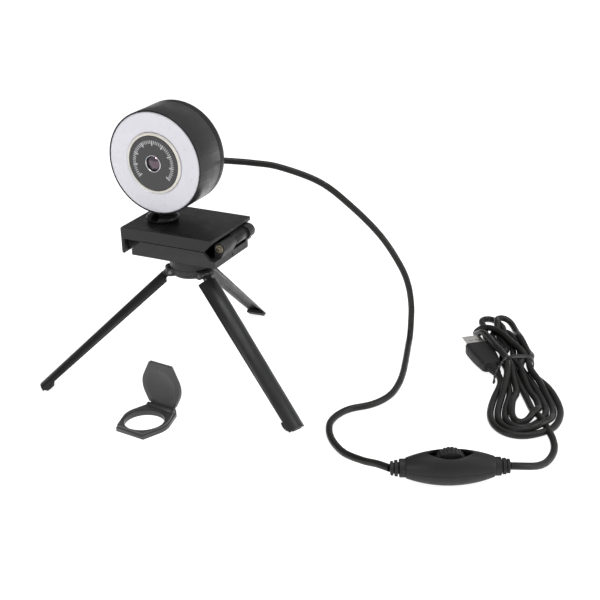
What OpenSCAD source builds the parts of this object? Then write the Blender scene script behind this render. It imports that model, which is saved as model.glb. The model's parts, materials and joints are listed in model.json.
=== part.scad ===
// Ring-light webcam on a folding monitor clip and a mini tripod, with its USB cord, inline
// dimmer and flip-up privacy cover. Millimetres, +Z up. The origin is on the floor, on the
// tripod's axis. The head looks along -Y and the clip's lip is on the -X side.

/* [Camera head] */
// Diameter of the round head
head_d = 62; // [58:1:66]
// Depth of the head from the bezel to the back
head_depth = 29; // [24:1:30]
// Height of the head's centre above the floor
head_z = 132.5; // [132.5:0.5:136]
// Diameter of the dark centre panel
panel_d = 33.2; // [31:0.2:34]
// Outer diameter of the chrome lens ring
lens_ring_d = 10.4; // [9.8:0.2:10.6]
// Number of lamps behind the diffuser
led_count = 24; // [12:1:28]

/* [Monitor clip] */
// Length of the upper plate, lip to hinge
plate_l = 61.9; // [58:0.1:66]
// Width of the upper plate
plate_w = 46; // [44:1:50]
// Height of the upper plate's top face
plate_top = 95; // [94:0.5:95.5]
// Length of the lip below the plate
lip_drop = 9; // [6:0.5:9.5]
// Wall thickness of the clip
clip_wall = 2; // [1.6:0.2:2.4]

/* [Tripod] */
// Diameter of the hub
hub_d = 25.4; // [24:0.2:26]
// Distance of each foot from the tripod's axis
foot_r = 94.5; // [88:0.5:100]
// Direction of the first leg, degrees from +X
leg_azimuth = 215; // [205:1:225]
// Width across a leg's channel at the hinge
leg_w = 13.2; // [12:0.2:14]

/* [Cord] */
// Diameter of the USB cord
cord_d = 4; // [4:0.1:4.4]

/* [Dimmer] */
// Length of the spindle-shaped body
dimmer_l = 45.8; // [44:0.2:48]
// Largest diameter of the body
dimmer_d = 19; // [18.6:0.2:19.2]
// Diameter of the thumb wheel
wheel_d = 16.8; // [15.6:0.2:17]

/* [Privacy cover] */
// Diameter of the hole that fits round the lens
cover_hole_d = 23; // [20:0.5:23.5]
// Height of the cover's base
cover_h = 4; // [3.6:0.2:4.4]

/* [Hidden] */
$fn = 64;
eps = 0.01;

// Head: local Z runs from the bezel to the back, local Y downward
head_x = -20.5;
head_front = -1;
head_r = head_d / 2;
head_wall = 1.8;
lip_t = 0.8;
lip_deep = 2.7;
split_z = 22.6;
baffle_r = panel_d / 2 + 1.5;
panel_front = -0.8;
screw_r = 24;
screw_angles = [35, 145, 215, 325];
boss_r = 2.4;
boss_z = 8.3;
gland_z = 121;
gland_l = 10;

// Neck: the tilt pin runs along X through the dome
neck = [head_x - 2.2, 7.5];
dome_base = plate_top + 0.2;
tilt_z = plate_top + 3.2;
neck_top = head_z - head_r + 4;
tilt_pin_r = 1;
eye_r = 2.4;

// Clip
plate_x0 = -39.5;
plate_x1 = plate_x0 + plate_l;
clip_y0 = -13;
plate_y1 = clip_y0 + plate_w;
arm_y1 = plate_y1 - 2;
seam_z = 87.4;
arm_z0 = 78.3;
slab_z = 82.5;
arm_x0 = -32.6;
arm_x1 = 24.2;
hinge = [23.4, 88.2];
barrel_r = 3.4;
hinge_r = 1.5;
knuckles = [-6, 8, 22.8, 29];

// Tripod
pivot_r = 13.2;
leg_turns = [0, 122, 240];
pivot_z = 70.2;
leg_pin_r = 1;
leg_slope = atan2(pivot_z - 0.7, foot_r - 0.6 - pivot_r);
leg_l = (foot_r - 0.6 - pivot_r) / cos(leg_slope);
leg_tube_r = leg_w / 2 + 0.8;
leg_wall = 1.3;
tongue_w = 4;

// Dimmer: local X runs along the cord
dimmer_at = [183, -53, 9.6];
dimmer_turn = 26.2;
dimmer_end_r = 5.4;
dimmer_wall = 1.6;
bow_rise = dimmer_d / 2 - dimmer_end_r;
bow_r = (pow(dimmer_l / 2, 2) + pow(bow_rise, 2)) / (2 * bow_rise);
relief_l = 8.2;
wheel_up = 2.3;
wheel_t = 5.2;
axle_r = 1.5;
axle_l = 11.2;

// Hank: local X runs down the bundle, away from the plug's tip
hank_at = [178.5, 67.7, 0];
hank_turn = -67.6;
hank_h = 13;
hank_waist = [-8, 5, 7.4];

// Plug: local X runs from the cord to the plug's tip
plug_at = [155.7, 84.15, 4.2];
plug_turn = 128.2;

// Cover
cover_at = [5, -65.6, 0];
cover_turn = -6;
cover_hinge = [13.6, 3.4];
cover_r = 14.2;
cover_front = -14.9;
cover_back = 15.4;
cover_bar = 9.7;
ear_t = 1.3;
lid_neck = 8.2;
lid_lean = 1;

// Routes of the cord, mm, from the head's gland to the dimmer and from the dimmer to the hank
camera_route = [
  [-20.5, 38.3, 121], [-20.4, 41.5, 121], [-19.4, 45.5, 120.8], [-14.6, 51.5, 120], [-4.3, 58.3, 118.7],
  [8.5, 64.2, 117.3], [24, 69.5, 115],
  [48, 76, 106.5], [66, 81, 92.5], [84, 87, 73], [95.5, 92, 53], [100, 95, 39],
  [101.5, 97, 24.5], [101.5, 97, 12], [102.5, 93, 4.5], [105, 84, 2.2], [111, 65, 2.2],
  [116, 48, 2.2], [119, 34, 2.2], [120, 21, 2.2], [118, 11, 2.2], [113.5, 2.5, 2.2],
  [105, -6.5, 2.2], [101.5, -16, 2.2], [101.5, -25, 2.2], [104.5, -33, 2.2], [109, -40, 2.2],
  [115, -46.5, 2.4], [124, -53.5, 3.2], [137, -59.5, 5.5], [147, -64, 8.6], [155.1, -66.7, 9.6]
];
plug_route = [
  [210.9, -39.3, 9.6], [217, -34.5, 8.3], [222, -26, 4.8], [224.5, -15, 2.3],
  [224.5, -3, 2.2], [221.5, 6, 2.4], [218.3, 12.4, 2.8]
];

function unit(v) = v / norm(v);
function clamp_i(i, n) = min(max(i, 0), n - 1);
function spline(a, b, c, d, t) = 0.5 * (
  2 * b + (c - a) * t + (2 * a - 5 * b + 4 * c - d) * t * t + (3 * b - a - 3 * c + d) * t * t * t
);
function smooth(p, n) = concat(
  [for (i = [0 : len(p) - 2]) for (k = [0 : n - 1])
    spline(p[clamp_i(i - 1, len(p))], p[i], p[i + 1], p[clamp_i(i + 2, len(p))], k / n)],
  [p[len(p) - 1]]
);
function headings(p) = [for (i = [0 : len(p) - 1])
  unit(p[clamp_i(i + 1, len(p))] - p[clamp_i(i - 1, len(p))])];
// A side direction carried along the route without twist
function carried(h, n, i) = i >= len(h) ? [] :
  let (m = unit(n - (n * h[i]) * h[i])) concat([m], carried(h, m, i + 1));

// A round tube along a route: one ring of corners at each point, and a flat cap at each end
module sweep(route, r, sides) {
  p = smooth(route, 2);
  h = headings(p);
  side = carried(h, [0.3, 0.2, 1], 0);
  last = (len(p) - 1) * sides;
  corners = [for (i = [0 : len(p) - 1]) for (k = [0 : sides - 1])
    let (a = 360 * k / sides) p[i] + r * (cos(a) * side[i] + sin(a) * cross(h[i], side[i]))];
  walls = [for (i = [0 : len(p) - 2]) for (k = [0 : sides - 1])
    let (a = i * sides + k, b = i * sides + (k + 1) % sides) [a, a + sides, b + sides, b]];
  caps = [[for (k = [0 : sides - 1]) k], [for (k = [0 : sides - 1]) last + sides - 1 - k]];
  polyhedron(corners, concat(walls, caps), convexity = 8);
}

// Turns an outline in X and Z into a prism from y0 to y1
module prism_y(y0, y1) {
  translate([0, y1, 0]) rotate([90, 0, 0]) linear_extrude(y1 - y0) children();
}

module ring(r_out, r_in, z0, z1, facets = 96) {
  rotate_extrude($fn = facets) translate([r_in, z0]) square([r_out - r_in, z1 - z0]);
}

module rod_y(r, y0, y1) {
  translate([0, y1, 0]) rotate([90, 0, 0]) cylinder(r = r, h = y1 - y0);
}

module at_head() { translate([head_x, head_front, head_z]) rotate([-90, 0, 0]) children(); }
module at_hinge() { translate([hinge[0], 0, hinge[1]]) children(); }
module at_dimmer() { translate(dimmer_at) rotate(dimmer_turn) children(); }
module at_hank() { translate(hank_at) rotate(hank_turn) children(); }
module at_plug() { translate(plug_at) rotate(plug_turn) children(); }
module at_cover() { translate(cover_at) rotate(cover_turn) children(); }
// A leg's own frame: X outward from the tripod's axis
module at_leg(i) { rotate(leg_azimuth + leg_turns[i - 1]) children(); }
// Along the leg: X from the pivot toward the foot, Z away from the floor
module along_leg(i) { at_leg(i) translate([pivot_r, 0, pivot_z]) rotate([0, leg_slope, 0]) children(); }

// ---- Camera head ----

module head_shell() {
  color("#17171a") difference() {
    union() {
      at_head() rotate_extrude($fn = 128) polygon([
        [head_r - 0.4, 0], [head_r, 0.4], [head_r, split_z], [head_r - head_wall, split_z],
        [head_r - head_wall, lip_deep + 0.5], [head_r - lip_t, lip_deep], [head_r - lip_t, 0.2],
        [head_r - lip_t + 0.2, 0]
      ]);
      at_head() for (a = screw_angles) rotate(a) {
        translate([screw_r, 0, boss_z]) cylinder(r = boss_r, h = split_z - boss_z);
        translate([screw_r + boss_r - 0.6, -0.8, boss_z])
          cube([head_r - head_wall - screw_r - boss_r + 1, 1.6, split_z - boss_z]);
      }
    }
    at_head() for (a = screw_angles) rotate(a) translate([screw_r, 0, boss_z + 1])
      cylinder(r = 1.2, h = 10, $fn = 24);
    translate([neck[0] - 2.65, neck[1] - 4.65, head_z - head_r - 2]) cube([5.3, 9.3, 8]);
  }
}

module rear_cover() {
  back = head_depth;
  soft = 2.5;
  color("#17171a") difference() {
    at_head() rotate_extrude($fn = 128) union() {
      translate([0, back - 2]) square([head_r - soft, 2]);
      translate([head_r - head_wall, split_z + 0.1]) square([head_wall, back - soft - split_z - 0.1]);
      translate([head_r - soft, back - soft]) intersection() {
        difference() {
          circle(r = soft);
          circle(r = soft - head_wall);
        }
        square(soft);
      }
    }
    at_head() for (a = screw_angles) rotate(a) {
      translate([screw_r, 0, 20]) cylinder(r = 1.35, h = 10, $fn = 24);
      translate([screw_r, 0, back - 1]) cylinder(r = 2.2, h = 3, $fn = 32);
    }
    translate([head_x, 0, gland_z]) rod_y(3.2, head_front + back - 6, head_front + back + 2);
  }
  color("#17171a") at_head() for (a = screw_angles) rotate(a) difference() {
    translate([screw_r, 0, split_z + 0.1]) cylinder(r = 2.6, h = back - 1.9 - split_z);
    translate([screw_r, 0, split_z - 1]) cylinder(r = 1.35, h = 14, $fn = 24);
  }
}

module ring_diffuser() {
  rim = head_r - lip_t - 0.15;
  color("#eceaf2") at_head() rotate_extrude($fn = 128) polygon([
    [baffle_r + 0.2, 0.5], [baffle_r + 1, 0.1], [rim - 0.5, 0.1], [rim, 0.4],
    [rim, lip_deep - 0.3], [baffle_r + 0.2, lip_deep - 0.3]
  ]);
}

module led_board() {
  color("#f2f2ee") at_head() difference() {
    ring(head_r - head_wall - 0.3, baffle_r + 0.3, 7, 8.2, 96);
    translate([neck[0] - head_x - 4.6, head_z - neck_top - 0.7, 6]) cube([9.2, 6, 4]);
  }
}

module leds() {
  mid = (baffle_r + head_r - head_wall) / 2;
  color("#f6e9a0") at_head() for (i = [0 : led_count - 1]) rotate(360 * (i + 0.5) / led_count)
    translate([mid - 1.4, -1.4, 6.1]) cube([2.8, 2.8, 0.9]);
}

module light_baffle() {
  color("#d9d9dc") at_head() ring(baffle_r, baffle_r - 1.2, 0.1, 12, 96);
}

module lens_panel() {
  color("#26272b") at_head() difference() {
    rotate_extrude($fn = 128) polygon([
      [0, panel_front], [panel_d / 2 - 0.3, panel_front], [panel_d / 2, panel_front + 0.3],
      [panel_d / 2, panel_front + 2.4], [0, panel_front + 2.4]
    ]);
    translate([0, 0, -4]) cylinder(r = lens_ring_d / 2 + 0.02, h = 6);
  }
}

module panel_trim() {
  color("#dcd6c6") at_head() rotate_extrude($fn = 128) polygon([
    [panel_d / 2 + 0.05, 0], [panel_d / 2 + 0.05, -0.6], [panel_d / 2 + 0.35, -0.85],
    [panel_d / 2 + 0.8, -0.75], [baffle_r, 0]
  ]);
}

module lens_barrel() {
  color("#101012") at_head() difference() {
    union() {
      translate([0, 0, panel_front + 0.8]) cylinder(r = 4.5, h = 6.2);
      translate([0, 0, 6.2]) cylinder(r = 6.2, h = 6.2);
    }
    translate([0, 0, panel_front + 0.6]) cylinder(r = 4.2, h = 2.6);
    translate([0, 0, -3]) cylinder(r = 2.4, h = 20);
  }
}

module lens_ring() {
  color("#c9cacd") at_head() rotate_extrude($fn = 96) polygon([
    [4.55, panel_front + 1], [4.55, panel_front - 0.1], [4.75, panel_front - 0.4],
    [lens_ring_d / 2 - 0.2, panel_front - 0.4], [lens_ring_d / 2, panel_front - 0.2],
    [lens_ring_d / 2, panel_front + 1]
  ]);
}

module lens_glass() {
  dome_r = 9;
  dome_h = dome_r - sqrt(dome_r * dome_r - 4.15 * 4.15);
  color("#3b3840") at_head() rotate_extrude($fn = 96) intersection() {
    translate([0, panel_front + 1.2 - dome_h + dome_r]) circle(r = dome_r, $fn = 180);
    translate([0, panel_front - 1.4]) square([4.15, 4.55]);
  }
}

module sensor_board() {
  color("#1f4a33") at_head() {
    translate([-11.5, -11.5, 12.5]) cube([23, 23, 1.2]);
    translate([-8, -4, 13.7]) cube([6, 6, 1.4]);
  }
}

module head_screws() {
  color("#2b2b2e") at_head() for (a = screw_angles) rotate(a) translate([screw_r, 0, 0]) {
    translate([0, 0, boss_z + 2.2]) cylinder(r = 1.25, h = head_depth - boss_z - 3, $fn = 24);
    translate([0, 0, head_depth - 1]) difference() {
      cylinder(r = 2.1, h = 1, $fn = 32);
      translate([-2.5, -0.3, 0.5]) cube([5, 0.6, 1]);
      translate([-0.3, -2.5, 0.5]) cube([0.6, 5, 1]);
    }
  }
}

module cord_gland() {
  y0 = head_front + head_depth;
  color("#121214") translate([head_x, 0, gland_z]) {
    rod_y(3.1, y0 - 2.2, y0 + eps);
    rod_y(4.4, y0 - 3.6, y0 - 2.2);
    translate([0, y0, 0]) rotate([-90, 0, 0]) rotate_extrude() polygon([
      [0, 0], [3.9, 0], [3.9, 0.8], [3.5, 1.4], [2.5, gland_l - 0.4], [2.2, gland_l], [0, gland_l]
    ]);
  }
}

module neck_stem() {
  foot_z = head_z - head_r;
  color("#17171a") difference() {
    union() {
      translate([neck[0] - 2.5, neck[1], tilt_z]) rotate([0, 90, 0]) cylinder(r = eye_r, h = 5);
      translate([neck[0] - 2.5, neck[1] - 2.4, tilt_z]) cube([5, 4.8, foot_z - tilt_z]);
      translate([neck[0] - 2.5, neck[1] - 4.5, foot_z - 0.4]) cube([5, 9, 3]);
      translate([neck[0] - 4, neck[1] - 4.5, neck_top - 1.6]) cube([8, 9, 1.6]);
    }
    translate([neck[0] - 6, neck[1], tilt_z]) rotate([0, 90, 0]) cylinder(r = tilt_pin_r + 0.05, h = 12);
  }
}

module tilt_pin() {
  color("#8d8f94") translate([neck[0] - 5.5, neck[1], tilt_z]) rotate([0, 90, 0])
    cylinder(r = tilt_pin_r, h = 11);
}

module swivel_dome() {
  color("#1b1b1e") difference() {
    translate([neck[0], neck[1], 0]) {
      translate([0, 0, dome_base]) rotate_extrude($fn = 96) polygon([
        [0, 0], [8.6, 0], [9.8, 1.2], [9.8, 2], [9.2, 2.9], [7.7, 3.8], [5.6, 4.6], [0, 4.8]
      ]);
      translate([0, 0, plate_top - 4.1]) cylinder(r = 1.5, h = 4.4, $fn = 32);
    }
    translate([neck[0] - 2.65, neck[1] - 12, tilt_z - 1.5]) cube([5.3, 24, 10]);
    translate([neck[0] - 2.65, neck[1], tilt_z]) rotate([0, 90, 0]) cylinder(r = eye_r + 0.1, h = 5.3);
    translate([neck[0] - 5.5, neck[1], tilt_z]) rotate([0, 90, 0]) cylinder(r = tilt_pin_r, h = 11);
    translate([neck[0], neck[1], plate_top - 5]) cylinder(r = 0.7, h = 4, $fn = 24);
  }
}

module swivel_screw() {
  color("#8d8f94") translate([neck[0], neck[1], plate_top - 6]) difference() {
    union() {
      cylinder(r = 3, h = 1.8, $fn = 32);
      cylinder(r = 0.7, h = 4.8, $fn = 24);
    }
    translate([-3.5, -0.4, -0.1]) cube([7, 0.8, 0.8]);
  }
}

// ---- Monitor clip ----

module plate_outline() {
  polygon([
    [plate_x0, seam_z - lip_drop + 0.8], [plate_x0 + 0.7, seam_z - lip_drop],
    [plate_x0 + 1.4, seam_z - lip_drop], [plate_x0 + 2.1, seam_z - lip_drop + 0.8],
    [plate_x0 + 2.1, seam_z + 0.2], [17.2, seam_z + 0.2], [plate_x1, plate_top - 2.2],
    [plate_x1, plate_top - 0.3], [plate_x1 - 0.3, plate_top], [plate_x0 + 0.8, plate_top],
    [plate_x0, plate_top - 0.8]
  ]);
}

module clip_plate() {
  under = plate_top - 2.2;
  color("#1a1a1d") difference() {
    union() {
      difference() {
        prism_y(clip_y0, plate_y1) plate_outline();
        translate([plate_x0 + 2.1, clip_y0 + clip_wall, seam_z - 12])
          cube([plate_l + 10, plate_w - 2 * clip_wall, under - seam_z + 12]);
      }
      translate([neck[0], neck[1], plate_top - 4]) cylinder(r = 4.5, h = 2);
      prism_y(knuckles[1] + 0.3, knuckles[2] - 0.3) polygon([
        [hinge[0], hinge[1] - barrel_r], [hinge[0], hinge[1] + barrel_r], [19.5, under + eps],
        [10, under + eps], [10, 90.4]
      ]);
      at_hinge() rod_y(barrel_r, knuckles[1] + 0.3, knuckles[2] - 0.3);
    }
    at_hinge() rod_y(hinge_r + 0.06, knuckles[1], knuckles[2]);
    translate([neck[0], neck[1], plate_top - 6]) cylinder(r = 1.56, h = 8, $fn = 32);
  }
}

module lip_pad() {
  color("#2a2a2c") translate([plate_x0 + 2.1, clip_y0 + 4, seam_z - lip_drop + 1.2])
    cube([0.8, plate_w - 8, lip_drop - 2.4]);
}

module arm_plan() {
  soft = 7;
  difference() {
    translate([arm_x0, clip_y0]) square([arm_x1 - arm_x0, arm_y1 - clip_y0]);
    translate([arm_x1 - soft, arm_y1 - soft]) difference() {
      square(soft + 1);
      circle(r = soft);
    }
  }
}

module clip_arm() {
  color("#3a3a3d") difference() {
    union() {
      intersection() {
        translate([0, 0, arm_z0]) linear_extrude(12) arm_plan();
        difference() {
          prism_y(clip_y0, arm_y1) polygon([
            [arm_x0, arm_z0], [arm_x1, arm_z0], [arm_x1, slab_z], [20.9, slab_z], [16.6, seam_z - 0.1],
            [-26.2, seam_z - 0.1], [arm_x0, 81.9]
          ]);
          translate([arm_x0 - 1, clip_y0 + clip_wall, slab_z]) cube([80, arm_y1 - clip_y0 - 2 * clip_wall, 10]);
        }
      }
      at_hinge() rod_y(barrel_r, knuckles[0], knuckles[1]);
      at_hinge() rod_y(barrel_r + 0.8, knuckles[2], knuckles[3]);
      for (y = [[knuckles[0], knuckles[1]], [knuckles[2], knuckles[3]]]) prism_y(y[0], y[1]) polygon([
        [hinge[0] - barrel_r, slab_z - eps], [arm_x1, slab_z - eps], [hinge[0] + barrel_r - 0.5, hinge[1] - 1.8],
        [hinge[0], hinge[1]], [hinge[0] - barrel_r, hinge[1]]
      ]);
    }
    at_hinge() rod_y(hinge_r, knuckles[0] - 1, knuckles[3] - 1.5);
    translate([0, 0, arm_z0 - 1]) cylinder(r = 4.4, h = 8);
    translate([arm_x1 - 2, 7, (arm_z0 + slab_z) / 2]) rotate([0, 90, 0]) cylinder(r = 0.7, h = 3, $fn = 24);
  }
}

module arm_pad() {
  color("#2a2a2c") translate([arm_x0 + 2, clip_y0 + 6, slab_z]) cube([8, arm_y1 - clip_y0 - 12, 0.8]);
}

module hinge_pin() {
  color("#8d8266") at_hinge() difference() {
    union() {
      rod_y(hinge_r, knuckles[0], knuckles[3] - 1.6);
      translate([0, knuckles[0], 0]) rotate([90, 0, 0]) rotate_extrude() polygon([
        [0, 0], [2.6, 0], [2.6, 0.5], [2.3, 0.8], [1.9, 0.8], [1.9, 0.3], [1.4, 0.3], [1.3, 0.8], [0, 0.9]
      ]);
    }
    translate([0, knuckles[0] - 0.4, 0]) rotate([90, 0, 0]) cylinder(r = 0.9, h = 2, $fn = 6);
  }
}

module thread_insert() {
  color("#b59a5e") ring(4.4, 3.2, arm_z0, slab_z, 64);
}

// ---- Tripod ----

module hub_top() {
  r = hub_d / 2;
  color("#303033") difference() {
    translate([0, 0, 72.8]) rotate_extrude($fn = 96) polygon([
      [0, 0], [r - 0.3, 0], [r, 0.3], [r, 5.2], [r - 0.3, arm_z0 - 72.8], [0, arm_z0 - 72.8]
    ]);
    translate([0, 0, 70]) cylinder(r = 3.15, h = 12);
  }
}

module hub_base() {
  r = hub_d / 2 - 0.4;
  base_h = 5.4;
  color("#2c2c2f") difference() {
    union() {
      translate([0, 0, 67.2]) rotate_extrude($fn = 96) union() {
        square([r - 3, base_h]);
        translate([0, 3]) square([r, base_h - 3]);
        intersection() {
          translate([r - 3, 3]) circle(r = 3);
          square([r, base_h]);
        }
      }
      for (i = [1 : 3]) at_leg(i) {
        translate([pivot_r, tongue_w / 2 + 2.8, pivot_z]) rotate([90, 0, 0])
          cylinder(r = 2.3, h = tongue_w + 5.6);
        translate([8, -tongue_w / 2 - 2.8, pivot_z - 2.3]) cube([pivot_r - 8, tongue_w + 5.6, 4.6]);
      }
    }
    for (i = [1 : 3]) at_leg(i) {
      translate([9.6, -tongue_w / 2 - 0.15, 60]) cube([10, tongue_w + 0.3, 20]);
      translate([pivot_r, 10, pivot_z]) rotate([90, 0, 0]) cylinder(r = leg_pin_r, h = 20, $fn = 32);
    }
    translate([0, 0, 69]) cylinder(r = 6.1, h = 10);
  }
}

module tripod_screw() {
  color("#a9abb0") {
    translate([0, 0, 69.2]) cylinder(r = 6, h = 3.4, $fn = 64);
    translate([0, 0, 72]) cylinder(r = 3.1, h = slab_z - 72.4, $fn = 48);
  }
}

module leg(i) {
  top = 4.4;
  crown = 2.1;
  color("#1c1c1f") difference() {
    along_leg(i) difference() {
      union() {
        difference() {
          translate([top, 0, crown - leg_tube_r]) rotate([0, 90, 0])
            cylinder(r = leg_tube_r, h = leg_l - top, $fn = 96);
          difference() {
            translate([top + 1.6, 0, crown - leg_tube_r]) rotate([0, 90, 0])
              cylinder(r = leg_tube_r - leg_wall, h = leg_l - top - 3, $fn = 96);
            translate([top, -tongue_w / 2, -leg_w]) cube([7, tongue_w, 2 * leg_w]);
          }
          translate([0, 0, -2.2]) rotate([0, -0.8, 0]) translate([-5, -20, -40]) cube([leg_l + 40, 40, 40]);
        }
        rotate([90, 0, 0]) translate([0, 0, -tongue_w / 2]) cylinder(r = 2.2, h = tongue_w);
        translate([0, -tongue_w / 2, -1.8]) cube([top + 2, tongue_w, 3.4]);
      }
      translate([0, 10, 0]) rotate([90, 0, 0]) cylinder(r = leg_pin_r + 0.06, h = 20, $fn = 32);
      translate([leg_l - 7.5, -9, -20]) cube([20, 18, 19.4]);
    }
    translate([0, 0, -60 - 0.02]) cube([400, 400, 120], center = true);
  }
}

module leg_pin(i) {
  color("#8d8f94") at_leg(i) translate([pivot_r, tongue_w / 2 + 2.8, pivot_z]) rotate([90, 0, 0])
    cylinder(r = leg_pin_r, h = tongue_w + 5.6, $fn = 32);
}

module foot(i) {
  crown = 2.1;
  color("#141416") difference() {
    along_leg(i) intersection() {
      translate([leg_l - 7.4, 0, crown - leg_tube_r]) rotate([0, 90, 0])
        cylinder(r = leg_tube_r - 0.4, h = 8.2, $fn = 64);
      translate([leg_l - 7.4, -8, -2.6]) cube([9, 16, 1.98]);
      translate([leg_l - 5.2, 0, -20]) cylinder(r = 6.2, h = 30, $fn = 64);
    }
    translate([0, 0, -60]) cube([400, 400, 120], center = true);
  }
}

module leg_1() { leg(1); }
module leg_2() { leg(2); }
module leg_3() { leg(3); }
module leg_pin_1() { leg_pin(1); }
module leg_pin_2() { leg_pin(2); }
module leg_pin_3() { leg_pin(3); }
module foot_1() { foot(1); }
module foot_2() { foot(2); }
module foot_3() { foot(3); }

// ---- Inline dimmer ----

module spindle(inset) {
  half = dimmer_l / 2;
  rotate([0, 90, 0]) rotate_extrude($fn = 96) intersection() {
    translate([dimmer_d / 2 - bow_r - inset, 0]) circle(r = bow_r, $fn = 360);
    translate([0, -half + inset]) square([dimmer_d, 2 * (half - inset)]);
  }
}

// The holes in both ends that the reliefs' necks sit in
module relief_holes() {
  rotate([0, 90, 0]) cylinder(r = 3.04, h = dimmer_l + 2, center = true, $fn = 48);
}

module wheel_pocket() {
  intersection() {
    translate([0, 11, 5.2]) cylinder(r = 16.4, h = 20, $fn = 96);
    translate([0, -11, 5.2]) cylinder(r = 16.4, h = 20, $fn = 96);
  }
  translate([-9, -wheel_t / 2 - 0.4, -8]) cube([18, wheel_t + 0.8, 30]);
}

module dimmer_top() {
  color("#232326") at_dimmer() difference() {
    spindle(0);
    difference() {
      spindle(dimmer_wall);
      for (s = [-1, 1]) translate([-2.5, s * 4.6 - 1.2, 0]) cube([5, 2.4, 8]);
    }
    translate([-40, -20, -30]) cube([80, 40, 30.05]);
    wheel_pocket();
    relief_holes();
    translate([0, 0, wheel_up]) rod_y(axle_r, -axle_l / 2 - 0.1, axle_l / 2 + 0.1);
  }
}

module dimmer_base() {
  color("#1f1f22") at_dimmer() difference() {
    spindle(0);
    spindle(dimmer_wall);
    relief_holes();
    translate([-40, -20, -0.05]) cube([80, 40, 30]);
  }
}

module dimmer_wheel() {
  color("#2e2e32") at_dimmer() translate([0, 0, wheel_up]) difference() {
    rod_y(wheel_d / 2, -wheel_t / 2, wheel_t / 2);
    rod_y(axle_r + 0.06, -10, 10);
    for (a = [0 : 15 : 345]) rotate([0, a, 0]) translate([wheel_d / 2 + 0.35, 0, 0])
      rod_y(0.7, -wheel_t / 2 - 1, wheel_t / 2 + 1, $fn = 16);
  }
}

module dimmer_axle() {
  color("#8d8f94") at_dimmer() translate([0, 0, wheel_up]) rod_y(axle_r, -axle_l / 2, axle_l / 2);
}

module dimmer_board() {
  color("#1f4a33") at_dimmer() {
    translate([9.4, -4, -1.2]) cube([8, 8, 1.2]);
    translate([10.4, -2.5, 0]) cube([4, 5, 2.4]);
  }
}

// A ribbed sleeve: it starts inside the dimmer's end wall and ends where the cord comes out
module ribbed_relief() {
  rotate([0, 90, 0]) rotate_extrude($fn = 48) polygon([
    [0, -2.6], [3.7, -2.6], [3.7, -1.7], [3, -1.7], [3, 0.02], [4.9, 0.02], [4.9, 3.2], [4.5, 3.4],
    [3.1, 3.4], [3.1, 4.2], [4.3, 4.2], [4.3, 5.8], [2.9, 5.8], [2.9, 6.5], [3.8, 6.5], [3.8, 7.8],
    [2.3, relief_l], [0, relief_l]
  ]);
}

module relief_in() {
  color("#19191b") at_dimmer() translate([-dimmer_l / 2, 0, 0]) rotate(180) ribbed_relief();
}

module relief_out() {
  color("#19191b") at_dimmer() translate([dimmer_l / 2, 0, 0]) ribbed_relief();
}

// ---- Cord, hank and plug ----

module camera_cord() { color("#1d1c1c") sweep(camera_route, cord_d / 2, 8); }
module plug_cord() { color("#1d1c1c") sweep(plug_route, cord_d / 2, 8); }

module hank() {
  color("#1f1e1e") at_hank() translate([0, 0, 0.2]) linear_extrude(hank_h - 0.2)
    for (lobe = [[-63, 0, 9], [48, 4, 22]]) hull() for (c = [lobe, hank_waist])
      translate([c[0], c[1]]) circle(r = c[2], $fn = 32);
}

module twist_tie() {
  reach = hank_waist[2] + 0.8;
  band = 0.8;
  color("#161616") at_hank() translate([hank_waist[0], hank_waist[1], 0]) difference() {
    translate([-1.6, -reach - band, 0.3]) cube([3.2, 2 * (reach + band), hank_h + 0.9]);
    translate([-3, -reach, -1]) cube([6, 2 * reach, hank_h + 1.15]);
  }
}

module usb_grip() {
  color("#1a1a1c") at_plug() {
    translate([-14, -7.75, -4]) linear_extrude(8) hull() {
      translate([2.2, 2.2]) circle(r = 2.2, $fn = 32);
      translate([2.2, 13.3]) circle(r = 2.2, $fn = 32);
      translate([26.5, 1.5]) circle(r = 1.5, $fn = 32);
      translate([26.5, 14]) circle(r = 1.5, $fn = 32);
    }
    rotate([0, -90, 0]) translate([0, 0, 13.9]) cylinder(r1 = 3.6, r2 = 2.3, h = 9);
  }
}

module usb_shell() {
  color("#c3c5c8") at_plug() difference() {
    translate([14, -6, -2.25]) cube([12.4, 12, 4.5]);
    translate([13, -5.7, -1.95]) cube([14, 11.4, 3.9]);
    for (y = [-3.4, 1]) translate([19.4, y, 1]) cube([2.4, 2.4, 3]);
  }
}

module usb_tongue() {
  color("#ececee") at_plug() translate([14, -5.6, -1.9]) cube([11.6, 11.2, 1.8]);
}

// ---- Privacy cover ----

// A round plate that runs out to a straight bar at the front and at the back
module cover_plan(inset) {
  hull() {
    circle(r = cover_r - inset, $fn = 96);
    for (y = [cover_front + inset, cover_back - inset - 2])
      translate([inset - cover_bar, y]) square([2 * (cover_bar - inset), 2]);
  }
}

module cover_base() {
  hole_y = -1.6;
  slot_half = cover_bar - ear_t;
  color("#2b2b2d") at_cover() difference() {
    union() {
      linear_extrude(cover_h - 1.7) cover_plan(0);
      linear_extrude(cover_h) cover_plan(0.5);
      for (x = [-cover_bar, slot_half]) translate([x, cover_hinge[0], cover_hinge[1]])
        rotate([0, 90, 0]) cylinder(r = 1.8, h = ear_t);
    }
    translate([0, hole_y, -1]) cylinder(r = cover_hole_d / 2, h = cover_h + 2, $fn = 96);
    translate([0, hole_y, cover_h - 0.8]) cylinder(r = cover_hole_d / 2 + 0.9, h = 2, $fn = 96);
    translate([-slot_half, cover_hinge[0] - 2.1, 1.4]) cube([2 * slot_half, 8, 5]);
    translate([-12, cover_hinge[0], cover_hinge[1]]) rotate([0, 90, 0]) cylinder(r = 0.8, h = 24, $fn = 32);
  }
}

// The lid leans back past upright; local Z runs up the lid from its hinge
module at_lid() {
  at_cover() translate([0, cover_hinge[0], cover_hinge[1]]) rotate([-lid_lean, 0, 0]) children();
}

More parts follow.
